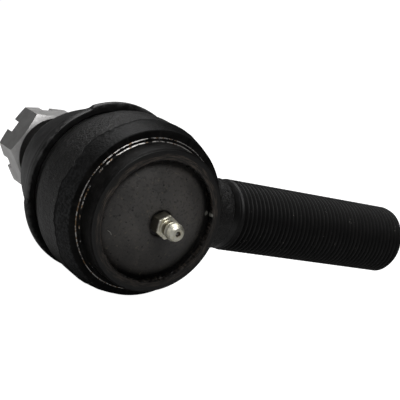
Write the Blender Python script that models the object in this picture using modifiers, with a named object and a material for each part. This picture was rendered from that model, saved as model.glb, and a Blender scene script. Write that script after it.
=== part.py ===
"""Heavy-duty tie rod end: a ball stud in a forged socket with a threaded shank.

Frame: the ball's centre is the origin, +X runs along the threaded shank, +Y runs along
the stud towards its castle nut, and +Z is up. The end cover faces -Y.
A turned outline is a list of (radius, station) points. Its station is measured along +Y,
and its outer side runs from the highest station to the lowest.
"""
import bpy
import bmesh
from math import asin, cos, pi, radians, sin, sqrt
from mathutils import Matrix

MM = 0.001
GAP = 0.3 * MM              # clearance between touching pieces
MERGE = 0.00001             # merge distance of every merging tool

# Ball joint
BALL_R = 19.05 * MM         # 1 1/2 inch ball
SEAT_R = BALL_R + GAP
BEARING_R = 22.3 * MM       # outside of the race and of the pressure seat
STUD_R = 11.6 * MM          # large end of the stud's taper
TAPER = 1.0 / 16.0          # radius lost per length: 1.5 inch per foot on the diameter
HEAD_FLAT = -15.8 * MM
RACE_FRONT = -0.9 * MM
RACE_BACK = 10.6 * MM

# Socket forging
HEAD_R = 33.5 * MM
BAND_BACK = -12.0 * MM      # back end of the cone turned on the head's front
FACE_R = 31.6 * MM          # outer edge of the head's flat front face
FACE_Y = -19.0 * MM
RIM_R = 27.2 * MM
RIM_FRONT = -27.5 * MM
LIP_R = 22.4 * MM           # opening of the rim that is spun over the cover
LIP_THICKNESS = 3.2 * MM
HEAD_BACK = 16.4 * MM
COVER_BORE_R = 24.8 * MM
COVER_SEAT = -21.5 * MM
SHOULDER_Y = 10.9 * MM

# Shank: 1 1/8 - 12 UNF
SHANK_R = 25.4 * 1.125 / 2.0 * MM
SHANK_END = 138.0 * MM
THREAD_START = 46.0 * MM
NECK_R = 14.05 * MM
END_CHAMFER = 2.2 * MM
CENTRE_R = 3.0 * MM         # lathe centre in the shank's end

# Cover and grease fitting
COVER_CENTRE = -29.4 * MM
COVER_RISE = 5.2 * MM       # how far the cover domes out of its rim
COVER_WALL = 2.6 * MM
FITTING_FACE = -33.4 * MM   # front of the hexagon
FITTING_TIP = -41.1 * MM
FITTING_HEX_R = 4.58 * MM   # 5/16 inch across flats
FITTING_BORE_R = 1.2 * MM
CHECK_BALL_R = 0.9 * MM

# Boot
BOOT_LIP_R = 33.9 * MM
BOOT_FRONT = 12.0 * MM
BOOT_TOP = 55.0 * MM
SPIGOT_R = 28.2 * MM        # groove in the head that the boot's lip sits in

# Stud end and castle nut: 3/4 - 16 UNF
THREAD_R = 25.4 * 0.75 / 2.0 * MM
STUD_END = 82.0 * MM
TAPER_START = 34.0 * MM
NUT_FRONT = 61.2 * MM
NUT_BACK = 76.6 * MM
NUT_FLATS = 31.75 * MM      # 1 1/4 inch
NUT_ANGLE = radians(126.6)  # a corner's angle about the stud, from +X towards +Z
SLOT_WIDTH = 5.0 * MM
SLOT_DEPTH = 4.8 * MM
PIN_HOLE_R = 2.0 * MM

SMOOTH_ANGLE = radians(32.0)
ALONG_Y = Matrix.Rotation(-pi / 2.0, 4, "X")   # a turned piece's own Z becomes world Y
ALONG_X = Matrix.Rotation(pi / 2.0, 4, "Y")    # its own Z becomes world X


def clear_scene():
    for obj in list(bpy.data.objects):
        bpy.data.objects.remove(obj, do_unlink=True)


def make_collection(name):
    collection = bpy.data.collections.new(name)
    bpy.context.scene.collection.children.link(collection)
    return collection


def make_material(name, color, roughness, metallic):
    material = bpy.data.materials.new(name)
    material.use_nodes = True
    shader = material.node_tree.nodes["Principled BSDF"]
    shader.inputs["Base Color"].default_value = (*color, 1.0)
    shader.inputs["Roughness"].default_value = roughness
    shader.inputs["Metallic"].default_value = metallic
    return material


def add_object(name, mesh, collection, matrix):
    obj = bpy.data.objects.new(name, mesh)
    obj.matrix_world = matrix
    collection.objects.link(obj)
    return obj


def turned(name, outline, collection, steps=40, closed=True, matrix=ALONG_Y):
    """Turn an outline about its axis; an open outline starts and ends on the axis."""
    mesh = bpy.data.meshes.new(name)
    points = [(radius, 0.0, station) for radius, station in outline]
    edges = [(i, i + 1) for i in range(len(points) - 1)]
    if closed:
        edges.append((len(points) - 1, 0))
    mesh.from_pydata(points, edges, [])
    obj = add_object(name, mesh, collection, matrix)
    screw = obj.modifiers.new("Turn", "SCREW")
    screw.axis = "Z"
    screw.steps = steps
    screw.render_steps = steps
    screw.use_merge_vertices = True
    screw.merge_threshold = MERGE
    screw.use_smooth_shade = True
    return obj


def make_cutter(obj):
    obj.hide_render = True
    obj.display_type = "WIRE"
    return obj


def boolean(obj, tool, operation):
    modifier = obj.modifiers.new(operation.title(), "BOOLEAN")
    modifier.operation = operation
    modifier.solver = "EXACT"
    modifier.object = tool


def finish(obj, material, parent):
    """Give a piece its material, sharp edges between smooth faces, and its parent."""
    obj.data.materials.append(material)
    obj.data.shade_smooth()
    obj.data.set_sharp_from_angle(angle=SMOOTH_ANGLE)
    if parent:
        obj.parent = parent
    return obj


def primitive_prism(name, sides, radius, low, high, angle, collection):
    """A prism along the stud's axis with a corner at an angle from +X towards +Z."""
    mesh = bpy.data.meshes.new(name)
    bm = bmesh.new()
    place = Matrix.Translation((0.0, 0.0, (low + high) / 2.0)) @ Matrix.Rotation(-angle, 4, "Z")
    bmesh.ops.create_cone(bm, cap_ends=True, segments=sides, radius1=radius, radius2=radius,
                          depth=high - low, matrix=place)
    bm.to_mesh(mesh)
    bm.free()
    return add_object(name, mesh, collection, ALONG_Y)


def box(name, size, place, collection):
    mesh = bpy.data.meshes.new(name)
    bm = bmesh.new()
    bmesh.ops.create_cube(bm, size=1.0, matrix=place @ Matrix.Diagonal((*size, 1.0)))
    bm.to_mesh(mesh)
    bm.free()
    return make_cutter(add_object(name, mesh, collection, Matrix.Identity(4)))


def sphere_arc(radius, start, end, steps):
    """Points of a circle about the origin, from one station to another."""
    first = asin(start / radius)
    last = asin(end / radius)
    angles = [first + (last - first) * i / steps for i in range(steps + 1)]
    return [(radius * cos(a), radius * sin(a)) for a in angles]


def cover_station(radius):
    return COVER_CENTRE + COVER_RISE * (radius / LIP_R) ** 2


def taper_radius(station):
    return STUD_R - (station - TAPER_START) * TAPER


def make_socket(collection, cutters, material):
    """The forged head with its spun rim, and the shank that grows out of it."""
    bore_r = BEARING_R + GAP
    lip_back = RIM_FRONT + LIP_THICKNESS
    outline = [
        (29.4 * MM, HEAD_BACK), (29.6 * MM, 11.0 * MM), (30.7 * MM, 9.4 * MM),
        (31.8 * MM, 7.4 * MM), (32.6 * MM, 5.0 * MM), (33.2 * MM, 2.5 * MM),
        (HEAD_R, -2.0 * MM), (HEAD_R, BAND_BACK), (32.7 * MM, -15.0 * MM),
        (FACE_R, FACE_Y), (RIM_R + 0.8 * MM, FACE_Y), (RIM_R, FACE_Y - 0.8 * MM),
        (RIM_R, RIM_FRONT + 0.6 * MM), (RIM_R - 0.6 * MM, RIM_FRONT),
        (LIP_R + 0.4 * MM, RIM_FRONT), (LIP_R, RIM_FRONT + 0.4 * MM),
        (LIP_R, lip_back - 0.3 * MM), (COVER_BORE_R, lip_back), (COVER_BORE_R, COVER_SEAT),
        (bore_r, COVER_SEAT), (bore_r, SHOULDER_Y), (18.3 * MM, SHOULDER_Y),
        (19.6 * MM, HEAD_BACK),
    ]
    socket = turned("socket_forging", outline, collection, steps=56)
    shank_outline = [
        (0.0, SHANK_END), (SHANK_R - END_CHAMFER, SHANK_END),
        (SHANK_R, SHANK_END - END_CHAMFER), (SHANK_R, THREAD_START + 0.6 * MM),
        (NECK_R, THREAD_START - 0.4 * MM), (NECK_R + 0.1 * MM, 38.0 * MM),
        (NECK_R + 0.6 * MM, 35.0 * MM), (NECK_R + 1.8 * MM, 32.2 * MM),
        (NECK_R + 3.6 * MM, 30.0 * MM), (NECK_R + 4.2 * MM, 26.8 * MM), (0.0, 26.8 * MM),
    ]
    shank = make_cutter(turned("shank_blank", shank_outline, cutters, steps=40, closed=False,
                               matrix=ALONG_X))
    clear_r = BOOT_LIP_R + 0.8 * MM
    groove_outline = [
        (clear_r, 19.0 * MM), (clear_r, BOOT_FRONT - GAP),
        (SPIGOT_R, BOOT_FRONT - GAP), (SPIGOT_R, 14.9 * MM),
        (SPIGOT_R + 0.8 * MM, 15.4 * MM), (SPIGOT_R + 0.8 * MM, 19.0 * MM),
    ]
    groove = make_cutter(turned("boot_groove", groove_outline, cutters, steps=56))
    centre_depth = CENTRE_R * sqrt(3.0)
    centre_outline = [
        (0.0, SHANK_END + 1.0 * MM), (CENTRE_R, SHANK_END + 1.0 * MM), (CENTRE_R, SHANK_END),
        (0.0, SHANK_END - centre_depth),
    ]
    centre = make_cutter(turned("lathe_centre", centre_outline, cutters, steps=24,
                                closed=False, matrix=ALONG_X))
    boolean(socket, shank, "UNION")
    boolean(socket, groove, "DIFFERENCE")
    boolean(socket, centre, "DIFFERENCE")
    return finish(socket, material, None)


def make_cover(collection, material):
    """A domed plug that closes the socket, with a counterbored hole for the fitting."""
    hole_r = 3.4 * MM
    recess_r = 4.9 * MM
    flange_r = COVER_BORE_R - 0.4 * MM
    radii = [20.0 * MM, 16.0 * MM, 11.0 * MM, 7.5 * MM]
    dome_edge = 21.9 * MM
    inner = [(r, cover_station(r) + COVER_WALL) for r in reversed(radii)]
    outer = [(r, cover_station(r)) for r in radii]
    flange_front = RIM_FRONT + LIP_THICKNESS + GAP
    flange_back = COVER_SEAT - GAP
    recess_floor = COVER_CENTRE + 1.1 * MM
    outline = [
        (hole_r, COVER_CENTRE + COVER_WALL), *inner, (21.6 * MM, flange_back),
        (flange_r, flange_back), (flange_r, flange_front), (22.6 * MM, flange_front),
        (dome_edge, cover_station(dome_edge)), *outer,
        (recess_r, cover_station(recess_r)), (recess_r, recess_floor), (hole_r, recess_floor),
    ]
    return finish(turned("end_cover", outline, collection), material, None)


def make_fitting(collection, cutters, material):
    """Grease fitting: hexagon, threaded stem below it and a coned nozzle above it."""
    stem_r = 3.1 * MM
    stem_end = COVER_CENTRE + COVER_WALL + 0.7 * MM
    hex_back = COVER_CENTRE + 0.5 * MM
    tip_hole_r = 0.7 * MM
    body_outline = [
        (FITTING_BORE_R, stem_end), (stem_r, stem_end), (stem_r, hex_back - 0.5 * MM),
        (2.35 * MM, FITTING_FACE + 0.5 * MM), (2.35 * MM, -35.2 * MM), (3.25 * MM, -35.6 * MM),
        (3.25 * MM, -36.6 * MM), (2.7 * MM, -39.2 * MM), (2.25 * MM, -40.7 * MM),
        (1.7 * MM, FITTING_TIP), (tip_hole_r, FITTING_TIP), (tip_hole_r, -40.5 * MM),
        (FITTING_BORE_R, -39.9 * MM),
    ]
    fitting = turned("grease_fitting", body_outline, collection, steps=24)
    hexagon = make_cutter(primitive_prism("fitting_hexagon", 6, FITTING_HEX_R, FITTING_FACE,
                                          hex_back, radians(92.0), cutters))
    corner_outline = [
        (0.0, hex_back + 1.0 * MM), (5.0 * MM, hex_back + 1.0 * MM),
        (5.0 * MM, FITTING_FACE + 0.5 * MM), (3.9 * MM, FITTING_FACE - 0.15 * MM),
        (0.0, FITTING_FACE - 0.15 * MM),
    ]
    corners = make_cutter(turned("fitting_corners", corner_outline, cutters, steps=32,
                                 closed=False))
    boolean(hexagon, corners, "INTERSECT")
    bore_outline = [
        (0.0, hex_back + 5.0 * MM), (FITTING_BORE_R, hex_back + 5.0 * MM),
        (FITTING_BORE_R, FITTING_FACE - 0.6 * MM), (0.0, FITTING_FACE - 0.6 * MM),
    ]
    bore = make_cutter(turned("fitting_bore", bore_outline, cutters, steps=24, closed=False))
    boolean(fitting, hexagon, "UNION")
    boolean(fitting, bore, "DIFFERENCE")
    return finish(fitting, material, None)


def make_check_valve(collection, ball_material, spring_material):
    """The ball that closes the fitting's nozzle, and the spring that holds it there."""
    ball_station = -38.7 * MM
    mesh = bpy.data.meshes.new("fitting_check_ball")
    bm = bmesh.new()
    bmesh.ops.create_uvsphere(bm, u_segments=12, v_segments=8, radius=CHECK_BALL_R)
    bm.to_mesh(mesh)
    bm.free()
    place = Matrix.Translation((0.0, ball_station, 0.0))
    finish(add_object("fitting_check_ball", mesh, collection, place), ball_material, None)

    turns = 6
    sides = 8
    coil_r = 0.8 * MM
    wire_r = 0.14 * MM
    start = ball_station + CHECK_BALL_R + GAP
    end = -30.0 * MM
    curve = bpy.data.curves.new("fitting_spring_wire", "CURVE")
    curve.dimensions = "3D"
    curve.bevel_depth = wire_r
    curve.bevel_resolution = 0
    curve.use_fill_caps = True
    spline = curve.splines.new("POLY")
    spline.points.add(turns * sides)
    for i, point in enumerate(spline.points):
        angle = 2.0 * pi * i / sides
        station = start + (end - start) * i / (turns * sides)
        point.co = (coil_r * cos(angle), station, coil_r * sin(angle), 1.0)
    wire = add_object("fitting_spring_wire", curve, collection, Matrix.Identity(4))
    mesh = mesh_from(wire)
    bpy.data.objects.remove(wire, do_unlink=True)
    spring = add_object("fitting_check_spring", mesh, collection, Matrix.Identity(4))
    finish(spring, spring_material, None)


def mesh_from(obj):
    """The evaluated mesh of a curve, with its caps welded on."""
    depsgraph = bpy.context.evaluated_depsgraph_get()
    mesh = bpy.data.meshes.new_from_object(obj.evaluated_get(depsgraph))
    bm = bmesh.new()
    bm.from_mesh(mesh)
    bmesh.ops.remove_doubles(bm, verts=bm.verts, dist=MERGE / 10.0)
    bm.to_mesh(mesh)
    bm.free()
    return mesh


def make_race(collection, material):
    """Fixed bearing behind the ball: the half ball swings in it."""
    edge = 8.6 * MM
    arc = sphere_arc(SEAT_R, RACE_FRONT, edge, 5)
    outline = [(BEARING_R, RACE_BACK), (BEARING_R, RACE_FRONT), *arc,
               (18.0 * MM, RACE_BACK)]
    return finish(turned("rear_race", outline, collection), material, None)


def make_pressure_seat(collection, material, parent):
    """Cup that presses on the ball's front; it can turn on the stud's axis."""
    back = RACE_FRONT - 0.5 * MM
    front = -20.6 * MM
    hole_r = 6.0 * MM
    inner = -sqrt(SEAT_R ** 2 - hole_r ** 2)
    arc = sphere_arc(SEAT_R, inner, back, 8)
    outline = [(BEARING_R, back), (BEARING_R, front + 1.0 * MM), (21.3 * MM, front),
               (hole_r, front), *arc]
    return finish(turned("pressure_seat", outline, collection), material, parent)


def make_disc_spring(collection, material):
    """Coned spring washer between the cover and the pressure seat."""
    outline = [
        (16.0 * MM, -20.95 * MM), (16.0 * MM, -22.45 * MM),
        (7.5 * MM, -25.9 * MM), (7.5 * MM, -24.4 * MM),
    ]
    return finish(turned("disc_spring", outline, collection), material, None)


def make_half_ball(collection, material, parent):
    """Back half of the ball: a sleeve that the stud turns in."""
    top = 10.4 * MM
    arc = sphere_arc(BALL_R, top, GAP, 6)
    bore_r = STUD_R + GAP
    outline = [*arc, (bore_r, GAP), (bore_r, top)]
    return finish(turned("half_ball", outline, collection), material, parent)


def make_stud(collection, cutters, material, parent):
    """Stud with the front half of the ball as its head, a taper and a thread."""
    face = -0.05 * MM
    taper_end = NUT_FRONT - 0.6 * MM
    arc = sphere_arc(BALL_R, face, HEAD_FLAT, 7)
    outline = [
        (0.0, STUD_END), (THREAD_R - 1.2 * MM, STUD_END), (THREAD_R, STUD_END - 1.2 * MM),
        (THREAD_R, taper_end + 0.3 * MM), (taper_radius(taper_end), taper_end),
        (STUD_R, TAPER_START), (STUD_R, face), *arc, (3.5 * MM, HEAD_FLAT),
        (0.0, HEAD_FLAT + 1.8 * MM),
    ]
    stud = turned("ball_stud", outline, collection, closed=False)
    pin_station = NUT_BACK - 2.3 * MM
    hole = bpy.data.meshes.new("pin_hole")
    bm = bmesh.new()
    bmesh.ops.create_cone(bm, cap_ends=True, segments=16, radius1=PIN_HOLE_R,
                          radius2=PIN_HOLE_R, depth=30.0 * MM)
    bm.to_mesh(hole)
    bm.free()
    slot_angle = NUT_ANGLE + pi / 6.0
    place = (Matrix.Translation((0.0, pin_station, 0.0))
             @ Matrix.Rotation(-slot_angle, 4, "Y") @ ALONG_X)
    drill = make_cutter(add_object("pin_hole", hole, cutters, place))
    boolean(stud, drill, "DIFFERENCE")
    return finish(stud, material, parent)


def make_nut(collection, cutters, material, parent):
    """Castle nut: a chamfered hexagon with three slots cut across its far face."""
    corner_r = NUT_FLATS / sqrt(3.0)
    nut = primitive_prism("castle_nut", 6, corner_r, NUT_FRONT, NUT_BACK, NUT_ANGLE, collection)
    face_r = NUT_FLATS / 2.0 - 0.5 * MM
    drop = (corner_r + 1.0 * MM - face_r) * 0.5
    chamfer_outline = [
        (0.0, NUT_BACK + 0.1 * MM), (face_r, NUT_BACK + 0.1 * MM),
        (corner_r + 1.0 * MM, NUT_BACK - drop), (corner_r + 1.0 * MM, NUT_FRONT + drop),
        (face_r, NUT_FRONT - 0.1 * MM), (0.0, NUT_FRONT - 0.1 * MM),
    ]
    chamfer = make_cutter(turned("nut_chamfer", chamfer_outline, cutters, steps=36,
                                 closed=False))
    bore_r = THREAD_R + GAP
    mouth_r = bore_r + 1.0 * MM
    bore_outline = [
        (0.0, NUT_BACK + 1.0 * MM), (mouth_r, NUT_BACK + 1.0 * MM), (mouth_r, NUT_BACK),
        (bore_r, NUT_BACK - 1.0 * MM), (bore_r, NUT_FRONT + 1.0 * MM), (mouth_r, NUT_FRONT),
        (mouth_r, NUT_FRONT - 1.0 * MM), (0.0, NUT_FRONT - 1.0 * MM),
    ]
    bore = make_cutter(turned("nut_bore", bore_outline, cutters, steps=32, closed=False))
    boolean(nut, chamfer, "INTERSECT")
    boolean(nut, bore, "DIFFERENCE")
    for number in range(3):
        angle = NUT_ANGLE + pi / 6.0 + number * pi / 3.0
        station = NUT_BACK - SLOT_DEPTH / 2.0 + 1.0 * MM
        place = (Matrix.Translation((0.0, station, 0.0)) @ Matrix.Rotation(-angle, 4, "Y"))
        size = (50.0 * MM, SLOT_DEPTH + 2.0 * MM, SLOT_WIDTH)
        boolean(nut, box(f"nut_slot_{number + 1}", size, place, cutters), "DIFFERENCE")
    return finish(nut, material, parent)


def make_boot(collection, material):
    """Rubber boot: a lip in the head's groove, a tall dome and a neck on the taper."""
    neck_r = 13.8 * MM
    neck_bore = 10.9 * MM
    outline = [
        (neck_r, BOOT_TOP), (neck_r, 51.9 * MM), (15.6 * MM, 51.2 * MM),
        (17.8 * MM, 49.2 * MM), (20.2 * MM, 46.2 * MM), (22.6 * MM, 42.3 * MM),
        (24.4 * MM, 38.5 * MM), (26.0 * MM, 34.0 * MM), (28.0 * MM, 28.0 * MM),
        (29.9 * MM, 22.0 * MM), (31.5 * MM, 18.0 * MM), (32.3 * MM, 16.0 * MM),
        (33.6 * MM, 15.4 * MM), (BOOT_LIP_R, 15.0 * MM), (BOOT_LIP_R, 12.4 * MM),
        (33.5 * MM, BOOT_FRONT), (SPIGOT_R + GAP + 2.0 * MM, BOOT_FRONT),
        (SPIGOT_R + GAP + 2.0 * MM, 13.2 * MM), (SPIGOT_R + GAP, 13.2 * MM),
        (SPIGOT_R + GAP, 14.7 * MM), (SPIGOT_R + 1.2 * MM, 15.2 * MM),
        (29.4 * MM, 17.2 * MM), (27.5 * MM, 22.6 * MM), (25.6 * MM, 28.4 * MM),
        (23.6 * MM, 34.2 * MM), (22.0 * MM, 38.3 * MM), (20.3 * MM, 41.6 * MM),
        (18.0 * MM, 45.0 * MM), (15.8 * MM, 47.6 * MM), (13.4 * MM, 49.2 * MM),
        (neck_bore, 50.2 * MM), (neck_bore, BOOT_TOP),
    ]
    return finish(turned("dust_boot", outline, collection), material, None)


def make_boot_rings(collection, material, neck_parent):
    """Flat steel ring that keeps the boot's lip in its groove, and a ring round its neck."""
    lip_outline = [
        (SPIGOT_R + 1.9 * MM, 12.9 * MM), (SPIGOT_R + 1.9 * MM, BOOT_FRONT),
        (SPIGOT_R + GAP, BOOT_FRONT), (SPIGOT_R + GAP, 12.9 * MM),
    ]
    finish(turned("boot_lip_ring", lip_outline, collection), material, None)
    wire_r = 0.9 * MM
    centre_r = 13.8 * MM + GAP + wire_r
    station = 53.4 * MM
    sides = 6
    angles = [-2.0 * pi * i / sides for i in range(sides)]
    neck_outline = [(centre_r + wire_r * cos(a), station + wire_r * sin(a)) for a in angles]
    finish(turned("boot_neck_ring", neck_outline, collection), material, neck_parent)


def make_axis(name, collection, parent):
    """An empty at the ball's centre, where all three of the joint's axes cross."""
    axis = bpy.data.objects.new(name, None)
    axis.empty_display_size = 20.0 * MM
    collection.objects.link(axis)
    axis.parent = parent
    return axis


def main():
    clear_scene()
    parts = make_collection("tie_rod_end")
    cutters = make_collection("cutters")
    black_forging = make_material("black_forging", (0.030, 0.030, 0.032), 0.50, 0.3)
    cover_steel = make_material("cover_steel", (0.050, 0.048, 0.046), 0.50, 0.4)
    zinc = make_material("zinc_plate", (0.78, 0.76, 0.68), 0.28, 1.0)
    bearing_steel = make_material("bearing_steel", (0.45, 0.45, 0.46), 0.30, 1.0)
    spring_steel = make_material("spring_steel", (0.22, 0.22, 0.23), 0.40, 1.0)
    rubber = make_material("boot_rubber", (0.028, 0.028, 0.030), 0.60, 0.0)
    stud_steel = make_material("stud_steel", (0.40, 0.40, 0.41), 0.34, 1.0)
    nut_steel = make_material("nut_steel", (0.42, 0.42, 0.42), 0.38, 1.0)

    seat_axis = make_axis("seat_turn_axis", parts, None)
    tilt_axis = make_axis("stud_tilt_axis", parts, seat_axis)
    spin_axis = make_axis("stud_spin_axis", parts, tilt_axis)

    make_socket(parts, cutters, black_forging)
    make_cover(parts, cover_steel)
    make_fitting(parts, cutters, zinc)
    make_check_valve(parts, bearing_steel, spring_steel)
    make_race(parts, bearing_steel)
    make_disc_spring(parts, spring_steel)
    make_boot(parts, rubber)
    make_boot_rings(parts, spring_steel, tilt_axis)
    make_pressure_seat(parts, bearing_steel, seat_axis)
    make_half_ball(parts, bearing_steel, tilt_axis)
    make_stud(parts, cutters, stud_steel, spin_axis)
    make_nut(parts, cutters, nut_steel, spin_axis)


main()
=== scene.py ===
from math import cos, hypot, pi, radians, sin, sqrt

import bpy
import bmesh
import numpy as np
from mathutils import Matrix, Vector, noise


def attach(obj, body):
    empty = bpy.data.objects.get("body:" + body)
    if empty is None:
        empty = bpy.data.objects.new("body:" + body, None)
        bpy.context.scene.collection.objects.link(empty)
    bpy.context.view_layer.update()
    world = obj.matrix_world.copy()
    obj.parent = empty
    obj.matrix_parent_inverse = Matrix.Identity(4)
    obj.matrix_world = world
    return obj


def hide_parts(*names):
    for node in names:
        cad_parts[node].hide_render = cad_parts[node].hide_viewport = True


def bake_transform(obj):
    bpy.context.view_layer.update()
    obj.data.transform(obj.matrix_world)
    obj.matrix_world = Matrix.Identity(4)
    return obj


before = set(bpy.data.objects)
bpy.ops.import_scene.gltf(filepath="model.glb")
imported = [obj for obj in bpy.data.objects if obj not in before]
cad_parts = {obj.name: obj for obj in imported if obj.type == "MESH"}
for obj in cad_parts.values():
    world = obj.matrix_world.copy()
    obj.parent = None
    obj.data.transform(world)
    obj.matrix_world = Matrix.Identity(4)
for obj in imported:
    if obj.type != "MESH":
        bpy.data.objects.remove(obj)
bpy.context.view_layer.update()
mm = 0.001
print("working model loaded:", len(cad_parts), "nodes")


# Node trees: arithmetic on a wire adds Math nodes

class Wire:
    def __init__(self, tree, socket):
        self.tree = tree
        self.socket = socket

    def maths(self, operation, *terms):
        terms = terms or (self,)
        return self.tree.node("ShaderNodeMath", {"operation": operation}, dict(enumerate(terms)))

    def __add__(self, other):
        return self.maths("ADD", self, other)

    def __sub__(self, other):
        return self.maths("SUBTRACT", self, other)

    def __rsub__(self, other):
        return self.maths("SUBTRACT", other, self)

    def __mul__(self, other):
        return self.maths("MULTIPLY", self, other)

    def __truediv__(self, other):
        return self.maths("DIVIDE", self, other)

    __radd__ = __add__
    __rmul__ = __mul__

    def least(self, other):
        return self.maths("MINIMUM", self, other)

    def most(self, other):
        return self.maths("MAXIMUM", self, other)

    def step(self, low, high, soft=True):  # 0 below low, 1 above high
        kind = "SMOOTHSTEP" if soft else "LINEAR"
        ends = {0: self, 1: low, 2: high, 3: 0.0, 4: 1.0}
        return self.tree.node("ShaderNodeMapRange", {"interpolation_type": kind}, ends)

    def band(self, low, high, edge):  # 1 between low and high
        return self.step(low - edge, low + edge) * (1.0 - self.step(high - edge, high + edge))


class Tree:
    def __init__(self, tree):
        self.tree = tree

    def node(self, kind, settings=None, inputs=None, output=0):
        made = self.tree.nodes.new(kind)
        for key, value in (settings or {}).items():
            setattr(made, key, value)
        for key, value in (inputs or {}).items():
            self.plug(made.inputs[key], value)
        return Wire(self, made.outputs[output])

    def plug(self, socket, value):
        if isinstance(value, Wire):
            self.tree.links.new(value.socket, socket)
        else:
            socket.default_value = value

    def parts(self, vector):
        made = self.tree.nodes.new("ShaderNodeSeparateXYZ")
        self.plug(made.inputs[0], vector)
        return [Wire(self, made.outputs[i]) for i in range(3)]

    def vector(self, x, y, z):
        return self.node("ShaderNodeCombineXYZ", None, {0: x, 1: y, 2: z})

    def noise(self, vector, scale, detail=4.0, rough=0.55):
        values = {"Vector": vector, "Scale": scale, "Detail": detail, "Roughness": rough}
        return self.node("ShaderNodeTexNoise", None, values)

    def cells(self, vector, scale):
        return self.node("ShaderNodeTexVoronoi", None, {"Vector": vector, "Scale": scale})

    def mix(self, factor, first, second):  # of two colours
        return self.node("ShaderNodeMix", {"data_type": "RGBA"},
                         {0: factor, 6: first, 7: second}, output=2)

    def bump(self, height, depth, strength=1.0):
        return self.node("ShaderNodeBump", None,
                         {"Strength": strength, "Distance": depth, "Height": height})


def grey(value, warm=0.0):
    return (value * (1.0 + warm), value, value * (1.0 - warm), 1.0)


def colour(red, green, blue):
    return (red, green, blue, 1.0)


class Finish(Tree):  # a material, its object coordinates and its coordinates about the stud
    def __init__(self, name, **fixed):
        self.material = bpy.data.materials.new(name)
        self.material.use_nodes = True
        super().__init__(self.material.node_tree)
        self.shader = self.tree.nodes["Principled BSDF"]
        for key, value in fixed.items():
            self.shader.inputs[key.replace("_", " ")].default_value = value
        self.place = self.node("ShaderNodeTexCoord", output="Object")
        self.x, self.y, self.z = self.parts(self.place)

    def about(self, across, up):  # radius, cosine and sine about an axis
        radius = (across * across + up * up).maths("SQRT")
        return radius, across / radius, up / radius

    def far(self, x, z):  # distance from a line along the stud
        return ((self.x - x) * (self.x - x) + (self.z - z) * (self.z - z)).maths("SQRT")

    def specks(self, scale, size, spread, sparse, detail=4.0):  # dots in scattered patches
        dots = 1.0 - self.cells(self.place, scale).step(*size)
        return dots * self.noise(self.place, spread, detail).step(*sparse)

    def seam(self):  # a painted shadow: the dark line where the forged skin ends, standing in for the shade of its step
        outline = self.node("ShaderNodeAttribute", {"attribute_name": "outline"}, output=2)
        return outline.band(*marks["seam"], 0.15)

    def chip(self):  # a nick that runs over the rim's inner edge onto the cover
        return 1.0 - self.far(*marks["chip"]).step(0.0007, 0.0011)

    def shade(self, **links):
        for key, value in links.items():
            self.plug(self.shader.inputs[key.replace("_", " ")], value)
        return self.material


# Meshes: rows of points, one ring for each station

def rounded(points, steps=4):
    # (radius, station, corner radius) in mm becomes a list of (radius, station)
    line = []
    count = len(points)
    for i, point in enumerate(points):
        here = Vector(point[:2])
        corner = point[2] if len(point) > 2 else 0.0
        if not corner:
            line.append(tuple(here))
            continue
        before = (Vector(points[i - 1][:2]) - here).normalized()
        after = (Vector(points[(i + 1) % count][:2]) - here).normalized()
        half = before.angle(after) / 2.0
        reach = corner / max(0.05, np.tan(half))
        middle = here + (before + after).normalized() * (corner / max(0.05, sin(half)))
        start = here + before * reach - middle
        sweep = start.angle_signed(here + after * reach - middle)
        for k in range(steps + 1):
            turn = -sweep * k / steps
            line.append(tuple(middle + Matrix.Rotation(turn, 2) @ start))
    return line


def spaced(line, step, closed=True):
    # more points on the long stretches, so that a forged surface can be uneven
    out = []
    ends = list(zip(line, line[1:] + line[:1])) if closed else list(zip(line, line[1:]))
    for (r0, y0), (r1, y1) in ends:
        parts = max(1, int(np.ceil(hypot(r1 - r0, y1 - y0) / step)))
        out += [(r0 + (r1 - r0) * k / parts, y0 + (y1 - y0) * k / parts) for k in range(parts)]
    if not closed:
        out.append(line[-1])
    return out


def turnedRows(line, sides):
    angles = np.linspace(0.0, 2.0 * pi, sides, endpoint=False)
    flat = np.array(line)
    radius = np.repeat(flat[:, :1], sides, 1)
    station = np.repeat(flat[:, 1:2], sides, 1)
    return radius, station, angles


def aboutStud(radius, station, angles):
    return np.stack([radius * np.cos(angles), station, radius * np.sin(angles)], -1) * mm


def aboutShank(radius, station, angles):
    return np.stack([station, radius * np.cos(angles), radius * np.sin(angles)], -1) * mm


def meshOf(name, rows, closed=True, flip=False, slots=None, outline=None):
    # quads between rings of points; a ring of radius 0 closes to a pole
    count, sides = rows.shape[:2]
    index = np.arange(count * sides).reshape(count, sides)
    upper = index if closed else index[:-1]
    lower = np.roll(index, -1, 0) if closed else index[1:]
    quads = np.stack([upper, np.roll(upper, -1, 1), np.roll(lower, -1, 1), lower], -1)
    if flip:
        quads = quads[..., ::-1]
    mesh = bpy.data.meshes.new(name)
    mesh.from_pydata(rows.reshape(-1, 3), [], quads.reshape(-1, 4).tolist())
    if slots is not None:
        mesh.polygons.foreach_set("material_index", np.repeat(slots[:len(upper)], sides))
    if outline is not None:  # each point's station before it wandered, for the finishes
        mark = mesh.attributes.new("outline", "FLOAT", "POINT")
        mark.data.foreach_set("value", np.repeat(outline, sides))
    return mesh


weldReach = 0.000002


def welded(mesh):
    bm = bmesh.new()
    bm.from_mesh(mesh)
    bmesh.ops.remove_doubles(bm, verts=bm.verts, dist=weldReach)
    bmesh.ops.dissolve_degenerate(bm, edges=bm.edges, dist=weldReach / 4.0)
    bm.to_mesh(mesh)
    bm.free()
    return mesh


def capped(mesh):
    bm = bmesh.new()
    bm.from_mesh(mesh)
    bmesh.ops.holes_fill(bm, edges=[e for e in bm.edges if e.is_boundary], sides=0)
    bm.to_mesh(mesh)
    bm.free()
    return mesh


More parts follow.
